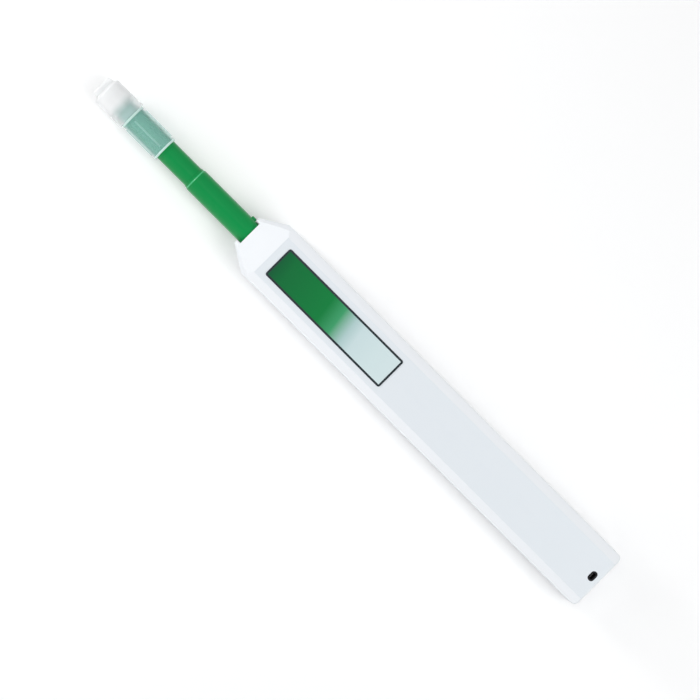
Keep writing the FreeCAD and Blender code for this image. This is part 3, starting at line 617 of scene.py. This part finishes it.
def makeLights():
    for name, (place, size, power, colour) in lamps.items():
        data = bpy.data.lights.new(name, "AREA")
        data.shape = "RECTANGLE"
        data.size = size[0] * mm
        data.size_y = size[1] * mm
        data.energy = power
        data.color = colour
        lamp = bpy.data.objects.new(name, data)
        scene.collection.objects.link(lamp)
        spot = Vector(place) * mm
        lamp.location = spot
        lamp.rotation_euler = (-spot).to_track_quat("-Z", "Y").to_euler()
    world = bpy.data.worlds.new("studio")
    scene.world = world
    world.use_nodes = True
    tree = world.node_tree
    room = tree.nodes["Background"]
    room.inputs["Color"].default_value = roomLight["colour"]
    room.inputs["Strength"].default_value = roomLight["strength"]
    backdrop = addNode(tree, "ShaderNodeBackground")
    seen = addNode(tree, "ShaderNodeMixShader")
    tree.links.new(directView(tree), seen.inputs["Fac"])
    tree.links.new(room.outputs[0], seen.inputs[1])
    tree.links.new(backdrop.outputs[0], seen.inputs[2])
    tree.links.new(seen.outputs[0], tree.nodes["World Output"].inputs["Surface"])
    scene.view_settings.view_transform = "Standard"


makeCamera()
makeFloor()
makeLights()
say("camera, floor and lights are set")


casing = {
    "broadFrom": 0.985,    # upright share of the normal from which a face is a broad one
    "smoothUnder": 25,     # degrees between faces that shade as one
}


def onBroadFace(middle, normal):
    return abs(normal.z) > casing["broadFrom"]


def makeShell(node, name):
    # the broad faces are grained and painted darker than the bevels and ends, as painted shade on
    # the upward faces; the bevels and ends are smoother
    piece = mergedCopy(node, name)
    dress(piece, "case", "casing", finishes["casing"], node)
    finishFaces(piece, finishes["panel"], onBroadFace)
    smoothPiece(piece, casing["smoothUnder"])
    # the broad faces stay flat up to the parting line
    bpy.ops.object.mode_set(mode="EDIT")
    selectFaces(piece, onBroadFace)
    bpy.ops.mesh.faces_shade_flat()
    bpy.ops.object.mode_set(mode="OBJECT")


makeShell("left_shell", "leftShell")
makeShell("right_shell", "rightShell")
say("casing is dressed")


labelLook = {
    "border": 0.66,          # mm, dark border
    "edge": 0.06,            # mm, the border's own edge strip
    "cornerRadius": 0.8,     # mm
    "cornerSteps": 8,
    "upward": 0.9,           # share of the normal from which a face looks up
    "lean": 0.13,            # mm that the fade moves along for each mm across
    "specular": 0.07,
    "fade": (                # share of the length from the tip's end, and colour
        (0.0, (0.004, 0.100, 0.034, 1)), (0.10, (0.004, 0.150, 0.038, 1)),
        (0.42, (0.004, 0.200, 0.045, 1)), (0.525, (0.050, 0.33, 0.140, 1)),
        (0.62, (0.43, 0.60, 0.595, 1)), (0.69, (0.59, 0.725, 0.74, 1)),
        (0.84, (0.635, 0.765, 0.775, 1)), (1.0, (0.655, 0.77, 0.785, 1)),
    ),
}


def labelPrint():
    # green that fades to pale mint towards the rear, inside a dark border
    material, tree, shader = newMaterial("labelFilm")
    link = tree.links.new
    low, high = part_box("label")
    middle = (low + high) / 2
    place = addNode(tree, "ShaderNodeTexCoord")
    centred = addNode(tree, "ShaderNodeMapping", vector_type="POINT")
    centred.inputs["Location"].default_value = (-middle.x, -middle.y, 0)
    link(place.outputs["Object"], centred.inputs["Vector"])
    axes = addNode(tree, "ShaderNodeSeparateXYZ")
    link(centred.outputs["Vector"], axes.inputs["Vector"])
    along = addNode(tree, "ShaderNodeMapRange")
    along.inputs["From Min"].default_value = (high.x - low.x) / 2
    along.inputs["From Max"].default_value = (low.x - high.x) / 2
    lean = addNode(tree, "ShaderNodeMath", operation="MULTIPLY_ADD")
    lean.inputs[1].default_value = labelLook["lean"]
    link(axes.outputs["Y"], lean.inputs[0])
    link(axes.outputs["X"], lean.inputs[2])
    link(lean.outputs[0], along.inputs["Value"])
    fade = addNode(tree, "ShaderNodeValToRGB")
    # a new ramp has its two ends, and the colours between them are added
    ramp = fade.color_ramp
    ramp.elements[0].color = labelLook["fade"][0][1]
    ramp.elements[1].color = labelLook["fade"][-1][1]
    for position, colour in labelLook["fade"][1:-1]:
        ramp.elements.new(position).color = colour
    link(along.outputs["Result"], fade.inputs["Fac"])
    skin = addNode(tree, "ShaderNodeGroup", node_tree=mouldedSkin)
    skin.inputs["Grain Height"].default_value = 0.05
    skin.inputs["Gloss"].default_value = 0.3
    skin.inputs["Mark Amount"].default_value = 0.1
    skin.inputs["Drift Scale"].default_value = 60.0
    link(fade.outputs["Color"], skin.inputs["Colour"])
    link(fade.outputs["Color"], skin.inputs["Drift Colour"])
    link(skin.outputs["Colour"], shader.inputs["Base Color"])
    link(skin.outputs["Roughness"], shader.inputs["Roughness"])
    link(skin.outputs["Normal"], shader.inputs["Normal"])
    shader.inputs["Specular IOR Level"].default_value = labelLook["specular"]
    return material


def makeLabel():
    low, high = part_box("label")
    piece = blockPiece("labelFilm", [c / mm for c in low], [c / mm for c in high])
    bpy.ops.object.mode_set(mode="EDIT")
    selectEdges(piece, lambda a, b: abs(a.z - b.z) > limits["level"] * mm)
    bpy.ops.mesh.bevel(offset=labelLook["cornerRadius"] * mm, segments=labelLook["cornerSteps"])
    selectFaces(piece, lambda middle, normal: normal.z > labelLook["upward"])
    bpy.ops.mesh.inset(thickness=labelLook["edge"] * mm)
    bpy.ops.mesh.inset(thickness=labelLook["border"] * mm)
    bpy.ops.object.mode_set(mode="OBJECT")
    border = plastic("labelBorder", (0.005, 0.012, 0.018), (0.008, 0.020, 0.026), gloss=0.3,
                     grainHeight=0.05, specular=0.2)
    dress(piece, "case", "label_print", border, "label")
    near = limits["near"] * mm
    finishFaces(piece, labelPrint(), lambda middle, normal: normal.z > labelLook["upward"]
                and abs(middle.x - (low.x + high.x) / 2) < near and abs(middle.y) < near)


makeLabel()
say("label is laid")


eyelet = {"edge": 0.14, "smoothUnder": 35}


def makeEyelet():
    piece = mergedCopy("strap_eyelet", "strapEyelet")
    softenEdges(piece, eyelet["edge"])
    smoothPiece(piece, eyelet["smoothUnder"])
    dress(piece, "case", "black_plastic", finishes["black"], "strap_eyelet")


makeEyelet()
say("strap eyelet is in")


wideNozzle = {              # mm, along the pen and out from its axis
    "rear": 29.0, "flangeThick": 2.7, "flangeRadius": 6.2, "endBore": 1.55,
    "radius": 4.225, "bore": 3.8, "coneStart": 69.1, "front": 70.9, "lip": 3.93,
    "stepRear": 69.7, "stepHigh": 4.19, "stepFront": 70.1, "stepLow": 3.96, "stepSoft": 0.15,
    "windowHalf": 1.35, "windowRear": 46.65, "windowFront": 48.75, "windowFloor": 2.8,
    "slotNear": 0.6, "slotFar": 3.6, "slotHalf": 0.5,    # the two slots for the thread
    "edge": 0.10, "edgeAngle": 12, "sides": 128,
}


def makeWideNozzle():
    part = wideNozzle
    flangeFront = part["rear"] + part["flangeThick"]
    piece = turnedPiece("wideNozzle", [
        (part["rear"], part["endBore"]), (flangeFront, part["endBore"]),
        (flangeFront, part["bore"]), (part["front"], part["bore"]),
        (part["front"], part["lip"]), (part["stepFront"], part["stepLow"]),
        (part["stepRear"], part["stepHigh"]), (part["coneStart"], part["radius"]),
        (flangeFront, part["radius"]), (flangeFront, part["flangeRadius"]),
        (part["rear"], part["flangeRadius"]), (part["rear"], part["endBore"]),
    ], part["sides"])
    height = axisHeight / mm
    cutAway(piece, blockPiece(
        "windowCutter",
        (part["windowRear"], -limits["outside"], height - part["windowHalf"]),
        (part["windowFront"], -part["windowFloor"], height + part["windowHalf"])))
    for side in (-1, 1):
        low, high = sorted((side * part["slotNear"], side * part["slotFar"]))
        cutAway(piece, blockPiece(
            "slotCutter", (part["rear"] - limits["past"], -part["slotHalf"], low + height),
            (flangeFront + limits["past"], part["slotHalf"], high + height)))
    softenEdges(piece, part["edge"], angle=part["edgeAngle"])
    smoothPiece(piece)
    dress(piece, "carriage", "green_plastic", finishes["green"], "outer_nozzle")
    # painted highlight: the step's outer faces get a lighter green
    finishAlong(piece, "step", lambda x, reach: reach > part["bore"] + limits["margin"]
                and part["stepRear"] - part["stepSoft"] < x < part["stepFront"] + part["stepSoft"])


narrowNozzle = {            # mm, along the pen and out from its axis
    "rear": 38.0, "radius": 3.75, "bore": 2.9, "stopRear": 82.5, "stopFront": 83.7,
    "stopBore": 2.4, "shoulder": 97.1, "step": 98.0, "tip": 104.0, "tipRadius": 2.55,
    "tipBore": 1.75, "slotHalf": 1.8, "slotFront": 49.35,
    "catchRear": 52.5, "catchFront": 53.5, "catchHalf": 1.2,
    "edge": 0.14, "sides": 128,
}


def makeNarrowNozzle():
    part = narrowNozzle
    piece = turnedPiece("narrowNozzle", [
        (part["rear"], part["bore"]), (part["stopRear"], part["bore"]),
        (part["stopRear"], part["stopBore"]), (part["stopFront"], part["stopBore"]),
        (part["stopFront"], part["bore"]), (part["shoulder"], part["bore"]),
        (part["shoulder"], part["tipBore"]), (part["tip"], part["tipBore"]),
        (part["tip"], part["tipRadius"]), (part["step"], part["tipRadius"]),
        (part["step"], part["radius"]), (part["rear"], part["radius"]),
        (part["rear"], part["bore"]),
    ], part["sides"])
    height = axisHeight / mm
    for name, rear, front, half in (
            ("slotCutter", part["rear"] - limits["past"], part["slotFront"], part["slotHalf"]),
            ("catchCutter", part["catchRear"], part["catchFront"], part["catchHalf"])):
        cutAway(piece, blockPiece(name, (rear, -limits["outside"], height - half),
                                  (front, 0, height + half)))
    softenEdges(piece, part["edge"])
    smoothPiece(piece)
    dress(piece, "nozzle", "green_plastic", finishes["green"], "nozzle_tube")


makeWideNozzle()
makeNarrowNozzle()


button = {"edge": 0.08, "edgeSteps": 2, "smoothUnder": 35}


def makeButton():
    piece = mergedCopy("lock_button", "lockButton")
    softenEdges(piece, button["edge"], segments=button["edgeSteps"])
    smoothPiece(piece, button["smoothUnder"])
    dress(piece, "button", "green_plastic", finishes["button"], "lock_button")


makeButton()
say("nozzles and button are made")


guideCap = {                # mm, along the pen and out from its axis
    "rear": 83.5, "bore": 3.82, "radius": 4.35, "lipFront": 84.2, "lipRadius": 4.43,
    "ringRear": 97.95, "ringFront": 98.7, "ringRadius": 4.5, "shoulder": 98.2,
    "tipClear": 2.65, "portFloor": 105.2, "portRadius": 3.5, "front": 108.6,
    "ferruleBore": 1.26, "paleFrom": 104.2,
    "ribRear": 85.3, "ribFront": 96.8, "ribHeight": 0.28,
    "ribTurn": 2,           # sides that the four ribs are turned round by
    "edge": 0.07, "edgeSteps": 2, "sides": 96,
}


def makeGuideCap():
    part = guideCap
    piece = turnedPiece("guideCap", [
        (part["rear"], part["bore"]), (part["shoulder"], part["bore"]),
        (part["shoulder"], part["tipClear"]), (part["portFloor"], part["tipClear"]),
        (part["portFloor"], part["ferruleBore"]), (part["front"], part["ferruleBore"]),
        (part["front"], part["portRadius"]), (part["paleFrom"], part["portRadius"]),
        (part["ringFront"], part["portRadius"]),
        (part["ringFront"], part["ringRadius"]), (part["ringRear"], part["ringRadius"]),
        (part["ringRear"], part["radius"]), (part["ribFront"], part["radius"]),
        (part["ribRear"], part["radius"]), (part["lipFront"], part["radius"]),
        (part["lipFront"], part["lipRadius"]), (part["rear"], part["lipRadius"]),
        (part["rear"], part["bore"]),
    ], part["sides"])
    quarter = math.pi / 2
    step = 4 * quarter / part["sides"]
    middleX = (part["ribRear"] + part["ribFront"]) / 2 * mm
    boreReach = (part["bore"] + limits["margin"]) * mm

    def onRib(middle, normal):
        # long outer faces of the wall, in four pairs a quarter turn apart
        up = middle.z - axisHeight
        turn = (math.atan2(up, middle.y) + part["ribTurn"] * step) % quarter
        return (min(turn, quarter - turn) < step and math.hypot(middle.y, up) > boreReach
                and abs(middle.x - middleX) < limits["near"] * mm)

    pick(piece)
    bpy.ops.object.mode_set(mode="EDIT")
    selectFaces(piece, onRib)
    bpy.ops.mesh.extrude_region_shrink_fatten(
        TRANSFORM_OT_shrink_fatten={"value": part["ribHeight"] * mm})
    bpy.ops.object.mode_set(mode="OBJECT")
    softenEdges(piece, part["edge"], segments=part["edgeSteps"])
    smoothPiece(piece)
    dress(piece, "cap", "teal_clear", finishes["teal"], "guide_cap")
    # ribs and rims are painted lighter than the wall between them as painted highlights, the ring
    # also as painted light against the dust cap's shade, and the port's end paler
    finishAlong(piece, "rib", lambda x, reach: reach > part["radius"] + limits["margin"])
    finishAlong(piece, "rim", lambda x, reach: reach > part["bore"] + limits["margin"]
                and (part["ringRear"] < x < part["ringFront"] or x < part["lipFront"]))
    # painted light: the port under the dust cap gets a lighter teal against the cap's shade
    finishAlong(piece, "inner", lambda x, reach: x > part["ringFront"])
    finishAlong(piece, "port", lambda x, reach: x > part["paleFrom"])


dustCap = {                 # mm, along the pen and out from its axis
    "rear": 98.8, "bore": 3.6, "floor": 108.9, "radius": 5.0, "chamfer": 0.85,
    "front": 110.8, "tabReach": 2.0, "tabWidth": 7.5, "tabThick": 3.2, "tabRound": 1.0,
    "tabSteps": 6, "edge": 0.16, "sides": 96,
    "thinTo": 101.0, "thickFrom": 105.4,
    "thinCover": 0.21,      # share that the thin rear wall hides
}


def makeDustCap():
    part = dustCap
    piece = turnedPiece("dustCap", [
        (part["floor"], part["bore"]), (part["rear"], part["bore"]),
        (part["rear"], part["radius"]), (part["front"] - part["chamfer"], part["radius"]),
        (part["front"], part["radius"] - part["chamfer"]),
    ], part["sides"], filled=True)
    height = axisHeight / mm
    halfWidth, halfThick = part["tabWidth"] / 2, part["tabThick"] / 2
    tabFront = part["front"] + part["tabReach"]
    tab = blockPiece("pullTab", (part["front"] - part["chamfer"], -halfWidth, height - halfThick),
                     (tabFront, halfWidth, height + halfThick))
    bpy.ops.object.mode_set(mode="EDIT")
    selectEdges(tab, lambda a, b: min(a.x, b.x) > (tabFront - limits["level"]) * mm
                and abs(a.z - b.z) > halfThick * mm)
    bpy.ops.mesh.bevel(offset=part["tabRound"] * mm, segments=part["tabSteps"])
    bpy.ops.object.mode_set(mode="OBJECT")
    joinOn(piece, tab)
    closeUp(piece)
    softenEdges(piece, part["edge"])
    smoothPiece(piece)
    thinTowardsRear(finishes["frost"], part["thinTo"], part["thickFrom"], part["thinCover"])
    dress(piece, "dust", "frosted_clear", finishes["frost"], "dust_cap")
    finishAlong(piece, "frostBore", lambda x, reach: x < part["floor"] + limits["margin"]
                and reach < part["bore"] + limits["margin"])


makeGuideCap()
makeDustCap()
say("caps are on")


springs = {
    # name: (node, body, wire mm, mean radius mm, turns, joint that presses it, its travel mm)
    "returnCoil": ("return_spring", "case", 0.7, 4.3, 8, "nozzle_push", 14.0),
    "headCoil": ("head_spring", "nozzle", 0.3, 2.6, 5, "head_press", 1.5),
}

coilLook = {"wireSides": 12, "stepsPerTurn": 24, "smoothUnder": 40}


def makeSpring(name, node, body, wire, radius, turns, joint, travel):
    low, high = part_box(node)
    length = high.x - low.x - wire * mm
    clearSelection()
    # the ring is wound round the world's own X axis and lifted to the pen's afterwards
    bpy.ops.mesh.primitive_circle_add(
        vertices=coilLook["wireSides"], radius=wire / 2 * mm, fill_type="NOTHING",
        location=(low.x + wire / 2 * mm, radius * mm, 0))
    piece = bpy.context.active_object
    piece.name = name
    settle(piece)
    steps = coilLook["stepsPerTurn"] * turns
    applyModifier(piece, "SCREW", axis="X", angle=2 * math.pi * turns, steps=steps,
                  render_steps=steps, screw_offset=length, iterations=1,
                  use_merge_vertices=False)
    startEditing(piece)
    bpy.ops.mesh.fill_holes(sides=0)
    bpy.ops.transform.translate(value=(0, 0, axisHeight))
    bpy.ops.object.mode_set(mode="OBJECT")
    closeUp(piece)
    smoothPiece(piece, coilLook["smoothUnder"])
    dress(piece, body, "spring_steel", finishes["spring"], node)
    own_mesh(piece)


for name, facts in springs.items():
    makeSpring(name, *facts)
say("springs are wound")


thread = {
    "splitAt": 34.7,         # mm along the pen, inside the carriage
    # name: (side of the split that it takes, bodies at its rear and front, where it gives)
    "runs": {
        "rearThread": (-1, ("case", "carriage"), (-16.0, 22.0)),
        "frontThread": (1, ("carriage", "nozzle"), (40.0, 90.0)),
    },
}


def makeThreadRun(name, side, bodies, givesOver):
    # one of the thread's two parts, cut from the CAD thread at the split
    piece = mergedCopy("cleaning_thread", name)
    startEditing(piece)
    bpy.ops.mesh.bisect(plane_co=(thread["splitAt"] * mm, 0, 0), plane_no=(side, 0, 0),
                        use_fill=True, clear_inner=True)
    bpy.ops.object.mode_set(mode="OBJECT")
    piece.data.materials.append(finishes["fresh"])
    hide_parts("cleaning_thread")
    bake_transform(piece)


for name, facts in thread["runs"].items():
    makeThreadRun(name, *facts)
say("thread is led through")


innerFinishes = {
    "carriage": "grey", "click_pawl": "grey", "drive_gear": "grey", "head_bush": "grey",
    "take_up_reel": "white", "supply_reel": "white", "cam_shaft": "white",
    "head_shaft": "shaft", "lock_spring": "spring", "cleaning_head": "tip",
    "used_thread": "used", "fresh_thread": "fresh",
}

for node, finish in innerFinishes.items():
    dressNode(node, finishes[finish])
say("inner pieces are dressed")


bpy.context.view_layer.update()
say("done")
